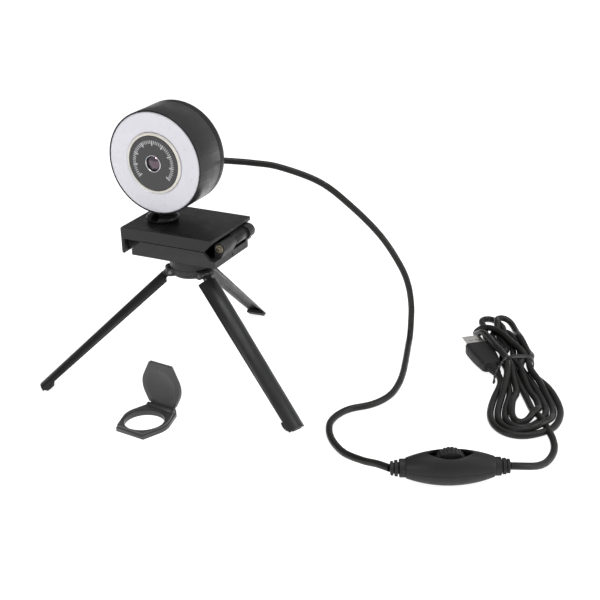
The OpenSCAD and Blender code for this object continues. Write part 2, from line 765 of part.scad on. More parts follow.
// The lid's outline, from its hinge up to its finger tab
module lid_plan(mid) {
  tab = 7.8;
  difference() {
    hull() {
      translate([0, mid]) circle(r = 13.4, $fn = 96);
      translate([-tab, mid + 9]) square([2 * tab, 5.2]);
      translate([-lid_neck, 0]) square([2 * lid_neck, 2]);
    }
    for (x = [-lid_neck - 10, lid_neck]) translate([x, -1]) square([10, 3.2]);
  }
}

module cover_lid() {
  mid = 13.5;
  outer = 3;
  lid_t = 2.2;
  dish_r = 40;
  dish_deep = 1.4;
  color("#323235") at_lid() difference() {
    union() {
      translate([0, outer, 0]) rotate([90, 0, 0]) difference() {
        linear_extrude(lid_t) lid_plan(mid);
        translate([0, mid, lid_t - dish_deep + dish_r]) sphere(r = dish_r, $fn = 128);
      }
      translate([-lid_neck, 0, 0]) rotate([0, 90, 0]) cylinder(r = 1.7, h = 2 * lid_neck);
    }
    translate([-12, 0, 0]) rotate([0, 90, 0]) cylinder(r = 0.86, h = 24, $fn = 32);
  }
}

module cover_pin() {
  color("#8d8f94") at_cover() translate([-9.5, cover_hinge[0], cover_hinge[1]]) rotate([0, 90, 0])
    cylinder(r = 0.8, h = 19, $fn = 32);
}

head_shell();
rear_cover();
ring_diffuser();
led_board();
leds();
light_baffle();
lens_panel();
panel_trim();
lens_barrel();
lens_ring();
lens_glass();
sensor_board();
head_screws();
cord_gland();
neck_stem();
tilt_pin();
swivel_dome();
swivel_screw();
clip_plate();
lip_pad();
clip_arm();
arm_pad();
hinge_pin();
thread_insert();
hub_top();
hub_base();
tripod_screw();
leg_1();
leg_2();
leg_3();
leg_pin_1();
leg_pin_2();
leg_pin_3();
foot_1();
foot_2();
foot_3();
dimmer_top();
dimmer_base();
dimmer_wheel();
dimmer_axle();
dimmer_board();
relief_in();
relief_out();
camera_cord();
plug_cord();
hank();
twist_tie();
usb_grip();
usb_shell();
usb_tongue();
cover_base();
cover_lid();
cover_pin();
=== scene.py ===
"""Looks of the ring-light webcam on its clip and mini tripod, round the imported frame. Metres."""
import json
import math

import bpy
import numpy as np
from mathutils import Matrix, Vector


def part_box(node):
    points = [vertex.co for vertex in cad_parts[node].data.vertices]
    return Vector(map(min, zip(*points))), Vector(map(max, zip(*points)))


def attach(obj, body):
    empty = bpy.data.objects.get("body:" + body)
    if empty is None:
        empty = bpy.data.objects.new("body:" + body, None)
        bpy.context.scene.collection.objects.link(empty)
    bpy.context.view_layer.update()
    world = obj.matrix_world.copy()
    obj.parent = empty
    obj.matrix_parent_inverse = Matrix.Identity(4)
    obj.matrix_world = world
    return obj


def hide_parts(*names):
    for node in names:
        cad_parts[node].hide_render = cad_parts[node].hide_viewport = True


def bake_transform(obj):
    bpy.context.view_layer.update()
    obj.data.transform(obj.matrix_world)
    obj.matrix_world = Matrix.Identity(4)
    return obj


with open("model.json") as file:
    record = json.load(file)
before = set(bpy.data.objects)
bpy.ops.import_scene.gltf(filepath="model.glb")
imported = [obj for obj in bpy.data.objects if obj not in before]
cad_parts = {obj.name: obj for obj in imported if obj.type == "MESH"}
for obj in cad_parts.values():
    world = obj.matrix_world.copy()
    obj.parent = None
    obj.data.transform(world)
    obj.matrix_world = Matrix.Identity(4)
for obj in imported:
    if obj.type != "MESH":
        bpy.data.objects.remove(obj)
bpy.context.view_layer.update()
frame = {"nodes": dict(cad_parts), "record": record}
nodes = frame["nodes"]
MM = 0.001
CAMERA_AT = (0.35704, -0.55669, 0.34082)
CAMERA_TURNS = (25.882, 24.068, 0.922)
FLOOR_HALF = 40.0

# ---------------------------------------------------------------- camera, floor and light


def make_camera():
    yaw, pitch, roll = (math.radians(a) for a in CAMERA_TURNS)
    level = math.cos(pitch)
    ahead = Vector((-math.sin(yaw) * level, math.cos(yaw) * level, -math.sin(pitch)))
    right = Vector((math.cos(yaw), math.sin(yaw), 0))
    up = right.cross(ahead)
    rolled_right = right * math.cos(roll) - up * math.sin(roll)
    rolled_up = up * math.cos(roll) + right * math.sin(roll)
    data = bpy.data.cameras.new("camera")
    data.lens = 72
    data.sensor_width = 36
    data.shift_x = -0.0409
    data.shift_y = 0.0015
    data.clip_start = 0.02
    camera = bpy.data.objects.new("camera", data)
    bpy.context.scene.collection.objects.link(camera)
    turn = Matrix((rolled_right, rolled_up, -ahead)).transposed().to_4x4()
    camera.matrix_world = Matrix.Translation(CAMERA_AT) @ turn
    bpy.context.scene.camera = camera


def area_light(name, place, aim, size, power):
    data = bpy.data.lights.new(name, "AREA")
    data.shape = "RECTANGLE"
    data.size, data.size_y = size
    data.energy = power
    light = bpy.data.objects.new(name, data)
    bpy.context.scene.collection.objects.link(light)
    light.location = place
    light.rotation_euler = (Vector(aim) - Vector(place)).to_track_quat("-Z", "Y").to_euler()


def make_floor():
    corners = [(x * FLOOR_HALF, y * FLOOR_HALF, 0) for x, y in ((-1, -1), (1, -1), (1, 1), (-1, 1))]
    mesh = bpy.data.meshes.new("floor")
    mesh.from_pydata(corners, [], [(0, 1, 2, 3)])
    floor = bpy.data.objects.new("floor", mesh)
    bpy.context.scene.collection.objects.link(floor)
    material = bpy.data.materials.new("floor_white")
    material.use_nodes = True
    shader = material.node_tree.nodes["Principled BSDF"]
    shader.inputs["Base Color"].default_value = (0.5, 0.5, 0.5, 1)
    shader.inputs["Roughness"].default_value = 0.6
    shader.inputs["Specular IOR Level"].default_value = 0.1
    shader.inputs["Emission Color"].default_value = (1, 1, 1, 1)
    shader.inputs["Emission Strength"].default_value = 0.86
    mesh.materials.append(material)


def make_light():
    """A white room that is brighter towards +x, with three softboxes."""
    world = bpy.data.worlds.new("studio")
    bpy.context.scene.world = world
    world.use_nodes = True
    tree = world.node_tree
    background = tree.nodes["Background"]
    background.inputs["Color"].default_value = (1, 1, 1, 1)
    place = tree.nodes.new("ShaderNodeTexCoord")
    toward = tree.nodes.new("ShaderNodeVectorMath")
    toward.operation = "DOT_PRODUCT"
    toward.inputs[1].default_value = (0.95, 0.25, 0.0)
    strength = tree.nodes.new("ShaderNodeMapRange")
    spread = {"From Min": -0.7, "From Max": 0.8, "To Min": 0.16, "To Max": 0.75}
    for socket, number in spread.items():
        strength.inputs[socket].default_value = number
    tree.links.new(place.outputs["Generated"], toward.inputs[0])
    tree.links.new(toward.outputs["Value"], strength.inputs["Value"])
    tree.links.new(strength.outputs["Result"], background.inputs["Strength"])
    middle = (0.05, 0.0, 0.06)
    area_light("top_softbox", (0.25, 0.1, 1.3), middle, (0.9, 0.7), 7)
    area_light("front_fill", (-0.35, -1.5, 0.8), middle, (0.3, 0.3), 8)
    area_light("right_softbox", (1.3, 0.2, 0.5), middle, (0.6, 0.7), 5)
    bpy.context.scene.view_settings.view_transform = "Standard"


make_camera()
make_floor()
make_light()

# ---------------------------------------------------------------- materials


class Look:
    """A Principled material with small helpers for the textures that feed it."""

    def __init__(self, name, colour, rough):
        self.material = bpy.data.materials.new(name)
        self.material.use_nodes = True
        self.tree = self.material.node_tree
        self.shader = self.tree.nodes["Principled BSDF"]
        self.set("Base Color", (*colour, 1))
        self.set("Roughness", rough)
        self.place = self.add("ShaderNodeTexCoord").outputs["Object"]

    def set(self, socket, value):
        self.shader.inputs[socket].default_value = value
        return self

    def add(self, kind, **settings):
        node = self.tree.nodes.new(kind)
        for key, value in settings.items():
            if hasattr(node, key):
                setattr(node, key, value)
            else:
                node.inputs[key].default_value = value
        return node

    def link(self, a, b):
        self.tree.links.new(a, b)

    def noise(self, scale, detail=3.0, roughness=0.55, stretch=None):
        node = self.add("ShaderNodeTexNoise", Scale=scale, Detail=detail, Roughness=roughness)
        place = self.place
        if stretch:
            mapping = self.add("ShaderNodeMapping", Scale=stretch)
            self.link(place, mapping.inputs["Vector"])
            place = mapping.outputs["Vector"]
        self.link(place, node.inputs["Vector"])
        return node.outputs["Fac"]

    def between(self, value, low, high, to_low, to_high):
        node = self.add("ShaderNodeMapRange", clamp=True)
        self.link(value, node.inputs["Value"])
        numbers = {"From Min": low, "From Max": high, "To Min": to_low, "To Max": to_high}
        for socket, number in numbers.items():
            node.inputs[socket].default_value = number
        return node.outputs["Result"]

    def mix(self, share, first, second):
        node = self.add("ShaderNodeMix", data_type="RGBA")
        self.link(share, node.inputs["Factor"])
        for socket, value in (("A", first), ("B", second)):
            target = [s for s in node.inputs if s.name == socket and s.type == "RGBA"][0]
            if isinstance(value, tuple):
                target.default_value = (*value, 1)
            else:
                self.link(value, target)
        return [s for s in node.outputs if s.type == "RGBA"][0]

    def colour(self, output):
        self.link(output, self.shader.inputs["Base Color"])
        return self

    def roughness(self, scale, low, high):
        patches = self.between(self.noise(scale), 0.35, 0.65, low, high)
        self.link(patches, self.shader.inputs["Roughness"])
        return self

    def bump(self, *layers):
        """Each layer is (height, distance in metres, strength)."""
        normal = None
        for height, distance, strength in layers:
            node = self.add("ShaderNodeBump", Distance=distance, Strength=strength)
            self.link(height, node.inputs["Height"])
            if normal:
                self.link(normal, node.inputs["Normal"])
            normal = node.outputs["Normal"]
        self.link(normal, self.shader.inputs["Normal"])
        return self


# How far a moulded surface's roughness goes either side of its middle
ROUGH_SPREAD = 0.06


def lighter(colour, times, lift=0.0):
    return tuple(min(1.0, c * times + lift) for c in colour)


def moulded(name, colour, rough, grain_mm=0.25, depth_mm=0.012, wear=0.35, gloss=0.3):
    """Moulded plastic: fine grain, slow colour drift, faintly rubbed edges and a few dust specks."""
    look = Look(name, colour, rough).set("Specular IOR Level", gloss)
    drift = look.noise(45, 4)
    share = look.between(drift, 0.3, 0.7, 0, 1)
    base = look.mix(share, lighter(colour, 0.86), lighter(colour, 1.16, 0.002))
    pointiness = look.add("ShaderNodeNewGeometry").outputs["Pointiness"]
    edges = look.between(pointiness, 0.53, 0.62, 0, wear)
    worn = look.mix(edges, base, lighter(colour, 1.9, 0.02))
    specks = look.between(look.noise(1400, 1), 0.74, 0.78, 0, 0.35)
    look.colour(look.mix(specks, worn, lighter(colour, 2.2, 0.04)))
    look.roughness(160, rough - ROUGH_SPREAD, rough + ROUGH_SPREAD)
    grain = look.noise(1 / (grain_mm * MM), 2)
    look.bump((grain, depth_mm * MM, 0.8), (look.noise(220, 2), 0.03 * MM, 0.25))
    return look.material


def metal(name, colour, rough, brushed=None):
    look = Look(name, colour, rough).set("Metallic", 1.0)
    stain = look.between(look.noise(260, 4), 0.35, 0.7, 0, 1)
    look.colour(look.mix(stain, colour, lighter(colour, 0.82)))
    look.roughness(500, rough - 0.05, rough + 0.1)
    scratches = look.noise(900, 3, 0.6, stretch=brushed or (1, 1, 1))
    look.bump((scratches, 0.01 * MM, 0.35))
    return look.material


def diffuser_plastic():
    milky = (0.66, 0.655, 0.705)
    look = Look("milky_diffuser", milky, 0.3)
    cloud = look.between(look.noise(30, 3), 0.3, 0.7, 0, 1)
    look.colour(look.mix(cloud, milky, lighter(milky, 1.03)))
    look.set("Subsurface Weight", 0.35).set("Subsurface Radius", (0.004, 0.004, 0.004))
    look.set("Subsurface Scale", 1.0).set("IOR", 1.5)
    look.roughness(300, 0.26, 0.38)
    look.bump((look.noise(2600, 2), 0.006 * MM, 0.5))
    return look.material


def panel_lacquer():
    charcoal = (0.033, 0.033, 0.035)
    look = Look("panel_charcoal", charcoal, 0.28)
    flake = look.between(look.noise(5200, 1), 0.55, 0.8, 0, 0.5)
    look.colour(look.mix(flake, charcoal, lighter(charcoal, 2.4)))
    look.roughness(240, 0.22, 0.34)
    look.set("Specular IOR Level", 0.4).set("Coat Weight", 0.12).set("Coat Roughness", 0.12)
    look.bump((look.noise(900, 2), 0.008 * MM, 0.3))
    return look.material


def cord_jacket():
    pvc = (0.0095, 0.0088, 0.0084)
    look = Look("cord_pvc", pvc, 0.42).set("Specular IOR Level", 0.28)
    tone = look.between(look.noise(70, 4), 0.3, 0.7, 0, 1)
    dust = look.between(look.noise(900, 2), 0.66, 0.78, 0, 0.3)
    base = look.mix(tone, lighter(pvc, 0.85), lighter(pvc, 1.35))
    look.colour(look.mix(dust, base, lighter(pvc, 3.2)))
    look.roughness(200, 0.34, 0.5)
    look.bump((look.noise(2400, 2), 0.012 * MM, 0.6), (look.noise(120, 2), 0.12 * MM, 0.25))
    return look.material


def rubber(name):
    colour = (0.0135, 0.0132, 0.0135)
    look = Look(name, colour, 0.62).set("Specular IOR Level", 0.3)
    dust = look.between(look.noise(500, 4), 0.55, 0.75, 0, 0.5)
    look.colour(look.mix(dust, colour, lighter(colour, 2.0, 0.01)))
    look.roughness(350, 0.52, 0.72)
    look.bump((look.noise(3000, 2), 0.02 * MM, 0.7))
    return look.material


def circuit_board(name, colour):
    look = Look(name, colour, 0.4)
    tracks = look.add("ShaderNodeTexVoronoi", feature="DISTANCE_TO_EDGE", Scale=700)
    look.link(look.place, tracks.inputs["Vector"])
    lines = look.between(tracks.outputs["Distance"], 0.02, 0.06, 0.6, 0)
    look.colour(look.mix(lines, colour, lighter(colour, 1.5, 0.02)))
    look.roughness(300, 0.32, 0.46)
    look.bump((lines, 0.03 * MM, 0.5))
    return look.material


def coated_glass():
    tint = (0.13, 0.12, 0.14)
    look = Look("lens_glass", tint, 0.03)
    look.set("IOR", 1.52).set("Transmission Weight", 0.45)
    look.set("Specular IOR Level", 1.0).set("Specular Tint", (1.0, 0.6, 0.78, 1))
    smear = look.between(look.noise(420, 3), 0.45, 0.7, 0, 1)
    look.colour(look.mix(smear, tint, lighter(tint, 1.15)))
    look.bump((look.noise(150, 2), 0.01 * MM, 0.1))
    return look.material


def lamp_phosphor():
    yellow = (0.86, 0.74, 0.33)
    look = Look("led_yellow", yellow, 0.35)
    patch = look.between(look.noise(700, 2), 0.4, 0.6, 0, 1)
    look.colour(look.mix(patch, yellow, lighter(yellow, 1.1, 0.05)))
    look.bump((look.noise(1500, 2), 0.02 * MM, 0.4))
    return look.material


# Moulded plastics: colour, roughness, and whatever differs from the usual grain, wear and gloss
PLASTICS = {
    "black_satin_plastic": ((0.0085, 0.0085, 0.0092), 0.32, {"depth_mm": 0.006, "gloss": 0.26}),
    "black_plate": ((0.0085, 0.0085, 0.009), 0.32, {"depth_mm": 0.004, "gloss": 0.24}),
    "grey_plastic": ((0.016, 0.0155, 0.0162), 0.42, {"grain_mm": 0.3, "depth_mm": 0.015}),
    "leg_black": ((0.0115, 0.0115, 0.0125), 0.38, {"depth_mm": 0.01}),
    "dimmer_black": ((0.0105, 0.0105, 0.011), 0.5, {"grain_mm": 0.3, "depth_mm": 0.02}),
    "cover_grey": ((0.042, 0.042, 0.044), 0.4, {"depth_mm": 0.015, "gloss": 0.36}),
    "trim_silver": ((0.70, 0.67, 0.60), 0.3, {"depth_mm": 0.004, "wear": 0.0, "gloss": 0.6}),
    "baffle_white": ((0.55, 0.55, 0.56), 0.45, {"wear": 0.1, "gloss": 0.5}),
    "tie_black": ((0.016, 0.016, 0.016), 0.34, {"wear": 0.2, "gloss": 0.5}),
    "usb_white": ((0.72, 0.72, 0.72), 0.4, {"wear": 0.1, "gloss": 0.5}),
    "mark_grey": ((0.42, 0.42, 0.43), 0.5, {"wear": 0.0, "gloss": 0.4}),
}
# Each slot's material, by the slot's name in the record
LOOKS = {
    **{name: moulded(name, colour, rough, **rest) for name, (colour, rough, rest) in PLASTICS.items()},
    "rubber_black": rubber("rubber_black"),
    "milky_diffuser": diffuser_plastic(),
    "panel_charcoal": panel_lacquer(),
    "chrome": metal("chrome", (0.62, 0.62, 0.63), 0.16),
    "lens_glass": coated_glass(),
    "white_board": circuit_board("white_board", (0.80, 0.80, 0.76)),
    "green_board": circuit_board("green_board", (0.02, 0.09, 0.045)),
    "led_yellow": lamp_phosphor(),
    "steel": metal("steel", (0.17, 0.17, 0.175), 0.38, brushed=(1, 1, 8)),
    "brass": metal("brass", (0.22, 0.195, 0.145), 0.36),
    "cord_pvc": cord_jacket(),
    "usb_steel": metal("usb_steel", (0.88, 0.86, 0.82), 0.3, brushed=(10, 1, 1)),
}


def soften(obj, width_mm, angle=32):
    """Rounds an object's hard edges by a fraction of a millimetre."""
    weld = obj.modifiers.new("weld", "WELD")
    weld.merge_threshold = 0.002 * MM
    bevel = obj.modifiers.new("bevel", "BEVEL")
    bevel.width = width_mm * MM
    bevel.segments = 2
    bevel.limit_method = "ANGLE"
    bevel.angle_limit = math.radians(angle)
    bevel.use_clamp_overlap = True
    bevel.harden_normals = True


# ---------------------------------------------------------------- mesh helpers


def new_piece(name, verts, faces, slot, smooth=True):
    mesh = bpy.data.meshes.new(name)
    mesh.from_pydata([tuple(v) for v in verts], [], faces)
    mesh.validate()
    if smooth:
        mesh.polygons.foreach_set("use_smooth", [True] * len(mesh.polygons))
        mesh.set_sharp_from_angle(angle=math.radians(50))
    mesh.materials.append(LOOKS[slot])
    piece = bpy.data.objects.new(name, mesh)
    bpy.context.scene.collection.objects.link(piece)
    return piece


def curve_through(points, steps):
    """A Catmull-Rom curve through the points, in the manner of part.scad's cord sweep."""
    p = np.array(points, float)
    found = []
    for i in range(len(p) - 1):
        a, b, c, d = p[max(i - 1, 0)], p[i], p[i + 1], p[min(i + 2, len(p) - 1)]
        for t in (k / steps for k in range(steps)):
            cubic = (2 * a - 5 * b + 4 * c - d) * t**2 + (3 * b - a - 3 * c + d) * t**3
            found.append(0.5 * (2 * b + (c - a) * t + cubic))
    return np.array([*found, p[-1]])


def evenly(line, spacing):
    """The line again, with points a fixed distance apart."""
    along = np.concatenate([[0], np.cumsum(np.linalg.norm(np.diff(line, axis=0), axis=1))])
    count = max(2, int(round(along[-1] / spacing)) + 1)
    wanted = np.linspace(0, along[-1], count)
    return np.stack([np.interp(wanted, along, line[:, k]) for k in range(3)], 1)


def frames_along(line):
    """Two directions across the line at each point, carried along without twist."""
    ahead = np.gradient(line, axis=0)
    ahead /= np.linalg.norm(ahead, axis=1)[:, None]
    side = np.cross(ahead[0], (0.3, 0.2, 1.0))
    sides = []
    for h in ahead:
        side = side - (side @ h) * h
        side = side / np.linalg.norm(side)
        sides.append(side)
    sides = np.array(sides)
    return sides, np.cross(ahead, sides)


def tube_faces(rings, count):
    """The faces of a closed tube whose rings have count points each, with both ends capped."""
    faces = []
    for i in range(rings - 1):
        for k in range(count):
            a, b = i * count + k, i * count + (k + 1) % count
            faces.append((a, b, b + count, a + count))
    last = (rings - 1) * count
    faces.append(tuple(reversed(range(count))))
    faces.append(tuple(range(last, last + count)))
    return faces


def sweep(name, line, profile, slot, twist=None):
    """A closed skin whose cross-section, a list of (side, up) points, is carried along the line."""
    line = np.array(line, float)
    side, up = frames_along(line)
    verts = []
    for i, centre in enumerate(line):
        angle = twist[i] if twist is not None else 0.0
        for a, b in profile:
            u = a * math.cos(angle) - b * math.sin(angle)
            v = a * math.sin(angle) + b * math.cos(angle)
            verts.append(centre + side[i] * u + up[i] * v)
    return new_piece(name, verts, tube_faces(len(line), len(profile)), slot)


def circle_profile(radius, sides=20):
    angles = [math.tau * k / sides for k in range(sides)]
    return [(radius * math.cos(a), radius * math.sin(a)) for a in angles]


# ---------------------------------------------------------------- the cord

CORD_R = 0.002
CURVE_STEPS = 8
camera_route = MM * np.array([
    (-20.5, 38.3, 121), (-20.4, 41.5, 121), (-19.4, 45.5, 120.8), (-14.6, 51.5, 120),
    (-4.3, 58.3, 118.7), (8.5, 64.2, 117.3), (24, 69.5, 115), (48, 76, 106.5), (66, 81, 92.5),
    (84, 87, 73), (95.5, 92, 53), (100, 95, 39), (101.5, 97, 24.5), (101.5, 97, 12),
    (102.5, 93, 4.5), (105, 84, 2.2), (111, 65, 2.2), (116, 48, 2.2), (119, 34, 2.2),
    (120, 21, 2.2), (118, 11, 2.2), (113.5, 2.5, 2.2), (105, -6.5, 2.2), (101.5, -16, 2.2),
    (101.5, -25, 2.2), (104.5, -33, 2.2), (109, -40, 2.2), (115, -46.5, 2.4),
    (124, -53.5, 3.2), (137, -59.5, 5.5), (147, -64, 8.6), (155.1, -66.7, 9.6),
])
plug_route = MM * np.array([
    (210.9, -39.3, 9.6), (217, -34.5, 8.3), (222, -26, 4.8), (224.5, -15, 2.3),
    (224.5, -3, 2.2), (221.5, 6, 2.4), (218.3, 12.4, 2.8),
])

# The camera's lead crosses three joints, so it is made of four lengths that meet end to end:
# its name, the bodies that it joins, and how far along the lead it ends
LEAD_STEP = 0.002
LEAD_PARTS = [
    ("lead_head", ("head", "swivel"), 0.032),
    ("lead_swivel", ("swivel", "clip_top"), 0.086),
    ("lead_clip", ("clip_top", "base"), 0.166),
    ("lead_base", ("base",), None),
]


def make_lead():
    line = evenly(curve_through(camera_route, CURVE_STEPS), LEAD_STEP)
    along = np.concatenate([[0], np.cumsum(np.linalg.norm(np.diff(line, axis=0), axis=1))])
    start, pieces = 0, []
    for name, bodies, reach in LEAD_PARTS:
        stop = len(line) - 1 if reach is None else int(np.searchsorted(along, reach))
        part = line[start:stop + 1]
        piece = sweep(name, part, circle_profile(CORD_R), "cord_pvc")
        if len(bodies) == 2:
            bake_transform(piece)
        else:
            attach(piece, bodies[0])
        pieces.append((piece, part))
        start = stop
    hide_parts("camera_cord")
    piece, part = pieces[-1]


make_lead()

# Hank: local X runs down the bundle, away from the plug's tip; millimetres
HANK_AT, HANK_TURN = Vector((0.1785, 0.0677, 0)), math.radians(-67.6)
TIE_X = -8.0
# The plug's middle and the slope of its axis; some strands lie over its edge
PLUG_X, PLUG_Y, PLUG_SLOPE = -23.9, -14.8, 0.283
# Each turn's lower loop: its far end, its left and its right edge, and its height over the table
LOWER = [(60, -8, 19, 9.5), (64.5, -11, 22, 2.2), (67, -14, 24, 6.2), (71, -16, 27.5, 2.2)]
# Each turn's upper loop: its far end, its left and its right edge, and its height
UPPER = [(-76, -4, 14, 2.2), (-95, -8, 5, 6.2), (-93, -1, 11, 10.2), (-74, -14, 6, 11.5)]
# How far the upper loops' far ends lean to the left
UPPER_LEAN = -10.0
# Where each turn passes under the tie on its way up and on its way down: across and height
TIE_UP = [(2.8, 2.2), (2.7, 9.4), (-1.3, 2.2), (0.7, 5.8)]
TIE_DOWN = [(4.8, 5.8), (6.9, 2.2), (8.9, 5.8), (11, 2.2)]
# A loop's outline as shares of its length and of its left or right edge
LOWER_SHAPE = [
    (0.06, 0.42), (0.22, 0.8), (0.40, 1.0), (0.62, 0.97), (0.82, 0.68), (0.96, 0.22),
    (1.0, -0.3), (0.93, -0.85), (0.76, -1.0), (0.5, -0.86), (0.24, -0.5),
]
UPPER_SHAPE = [
    (0.2, -0.6), (0.45, -0.95), (0.7, -1.0), (0.88, -0.85), (0.97, -0.62), (1.0, -0.25),
    (0.96, 0.1), (0.86, 0.4), (0.68, 0.85), (0.45, 1.0), (0.2, 0.7),
]


# How the strands settle, in millimetres: the step between a strand's points, the gap between two
# strands' middles, and the radius under which a bend is opened
STEP, GAP, MIN_BEND = 3.2, 4.25, 6.0
ROUNDS = 260
# Points nearer along the cord than this many gaps don't push each other
SAME_STRETCH = 2.6
# How far a point sinks each round, and in the last rounds, which start after this share of them
SINK, LAST_SINK, LAST_ROUNDS = 0.05, 0.01, 0.8
# The shares of a bend that are ironed out always and where it is too tight, and of an overlap
SMOOTH, OPEN_UP, PUSH = 0.16, 0.5, 0.42
# Under the tie: half its length, and the lowest and highest place across and up
TIE_HALF, TIE_ACROSS, TIE_UPWARDS = 5.0, (-2.6, 12.2), (2.2, 10.6)
# Beside the plug: half the width kept clear of its grip and of its sleeve, and where the grip ends
GRIP_HALF, SLEEVE_HALF, GRIP_END = 9.9, 5.6, -10
# The stretch that the plug lies along, the height over which a strand passes over it, and where
PLUG_FROM, PLUG_TO, OVER_FROM, OVER_AT = -52, 0, 5.5, 10.3
LOWEST = 2.1


def loop_points(shape, lean, begin, finish, far, left, right, height):
    """The outline's points between two places under the tie."""
    middle = (left + right) / 2
    found = []
    for i, (share, across) in enumerate(shape):
        near = (1 - share) ** 2
        start = begin if i < len(shape) / 2 else finish
        edge = middle + across * (right - left) / 2 + lean * share**2
        y, z = edge * (1 - near) + start[0] * near, height * (1 - near) + start[1] * near
        found.append((TIE_X + share * (far - TIE_X), y, z))
    return found


def hank_guess():
    """The cord's way through the bundle, turn by turn, before it settles."""
    points = [(66.3, 15.7, 2.6), (52, 12, 2.2), (36, 8.5, 2.2), (18, 4.5, 2.2)]
    for k in range(len(LOWER)):
        points.append((TIE_X, *TIE_UP[k]))
        points += loop_points(UPPER_SHAPE, UPPER_LEAN, TIE_UP[k], TIE_DOWN[k], *UPPER[k])
        points.append((TIE_X, *TIE_DOWN[k]))
        after = (-4, 3.5) if k == len(LOWER) - 1 else TIE_UP[k + 1]
        points += loop_points(LOWER_SHAPE, 0, TIE_DOWN[k], after, *LOWER[k])
    return points + [(9, -6.0, 3.8), (4, -6.9, 4.1), (-1.4, -8.4, 4.2)]


def iron_out(p, tight):
    """Straightens the line a little, and more where it bends too tightly."""
    bend = 0.5 * (p[:-2] + p[2:]) - p[1:-1]
    size = np.linalg.norm(bend, axis=1)
    opened = SMOOTH + OPEN_UP * (1 - tight / np.maximum(size, tight))
    share = np.where(size > tight, opened, SMOOTH)
    p[1:-1] += share[:, None] * bend


def push_apart(p, apart):
    """Moves points of different strands away from each other where the strands overlap."""
    delta = p[:, None, :] - p[None, :, :]
    distance = np.linalg.norm(delta, axis=2)
    i, j = np.nonzero(np.triu(apart & (distance < GAP) & (distance > 1e-6)))
    push = PUSH * (GAP - distance[i, j])[:, None] * delta[i, j] / distance[i, j][:, None]
    np.add.at(p, i, push)
    np.add.at(p, j, -push)


def keep_length(p, rest):
    """Brings every second pair of neighbours back to its distance, then the others."""
    for odd in (0, 1):
        d = p[odd + 1::2][: len(p[odd:-1:2])] - p[odd:-1:2]
        stretch = np.linalg.norm(d, axis=1)
        fix = 0.5 * ((stretch - rest) / stretch)[:, None] * d
        p[odd:-1:2] += fix
        p[odd + 1::2][: len(fix)] -= fix


def stay_clear(p):
    """Keeps the strands inside the tie, on the table, and beside or over the plug."""
    tied = np.abs(p[:, 0] - TIE_X) < TIE_HALF
    p[tied, 1] = np.clip(p[tied, 1], *TIE_ACROSS)
    p[tied, 2] = np.clip(p[tied, 2], *TIE_UPWARDS)
    p[:, 2] = np.maximum(p[:, 2], LOWEST)
    middle = PLUG_Y + PLUG_SLOPE * (p[:, 0] - PLUG_X)
    half = np.where(p[:, 0] < GRIP_END, GRIP_HALF, SLEEVE_HALF)
    near = (np.abs(p[:, 1] - middle) < half) & (p[:, 0] > PLUG_FROM) & (p[:, 0] < PLUG_TO)
    lift = near & (p[:, 2] > OVER_FROM)
    p[lift, 2] = np.maximum(p[lift, 2], OVER_AT)
    aside = near & ~lift
    p[aside, 1] = middle[aside] + half[aside]


def settle(line):
    """Lets the strands push each other apart, keep their length and rest on the table."""
    p = evenly(line, STEP)
    rest = np.linalg.norm(np.diff(p, axis=0), axis=1).mean()
    count = len(p)
    places = np.arange(count)
    apart = np.abs(np.subtract.outer(places, places)) > SAME_STRETCH * GAP / STEP
    ends = np.zeros(count, bool)
    ends[:3] = ends[-4:] = True
    held = p[ends].copy()
    tight = STEP**2 / (2 * MIN_BEND)
    for step in range(ROUNDS):
        p[:, 2] -= SINK if step < LAST_ROUNDS * ROUNDS else LAST_SINK
        for _ in range(3):
            iron_out(p, tight)
        push_apart(p, apart)
        for _ in range(6):
            keep_length(p, rest)
        stay_clear(p)
        p[ends] = held
    return p


def to_world(local_mm):
    turn = Matrix.Rotation(HANK_TURN, 3, "Z")
    return np.array([HANK_AT + turn @ Vector(q) * MM for q in local_mm])


def rounded(line, times):
    """Irons out the small steps that the relaxation leaves, ends kept."""
    p = line.copy()
    for _ in range(times):
        p[1:-1] = 0.25 * p[:-2] + 0.5 * p[1:-1] + 0.25 * p[2:]
    return p


USB_STEP = 0.0018


def make_plug_cord():
    turns = settle(curve_through(hank_guess(), CURVE_STEPS))
    hank = to_world(curve_through(rounded(turns, 3), 2))
    way_in = curve_through(plug_route, CURVE_STEPS)
    line = rounded(evenly(np.concatenate([way_in[:-4], hank[2:]]), USB_STEP), 8)
    piece = sweep("usb_cord", line, circle_profile(CORD_R, 16), "cord_pvc")
    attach(piece, "base")
    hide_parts("plug_cord", "hank")
    return piece, line


usb_cord, usb_line = make_plug_cord()

# ---------------------------------------------------------------- the plug and the twist tie

PLUG_AT, PLUG_TURN = Vector((0.1557, 0.08415, 0.0042)), math.radians(128.2)


def at_plug(x, y, z):
    return PLUG_AT + Matrix.Rotation(PLUG_TURN, 3, "Z") @ Vector((x, y, z)) * MM


def bulge(value, power):
    return math.copysign(abs(value) ** power, value)


def squircle(half_w, half_h, power, sides=40):
    """An outline between an ellipse, at power 2, and a rectangle."""
    points = []
    for k in range(sides):
        a = math.tau * k / sides
        points.append((half_w * bulge(math.cos(a), 2 / power), half_h * bulge(math.sin(a), 2 / power)))
    return points


def loft_plug(name, stations, slot):
    """Stations are (x, half width, half height, squareness), in mm from the plug's middle."""
    rings = [[at_plug(x, a, b) for a, b in squircle(w, h, power)] for x, w, h, power in stations]
    verts = [v for ring in rings for v in ring]
    return new_piece(name, verts, tube_faces(len(rings), len(rings[0])), slot)


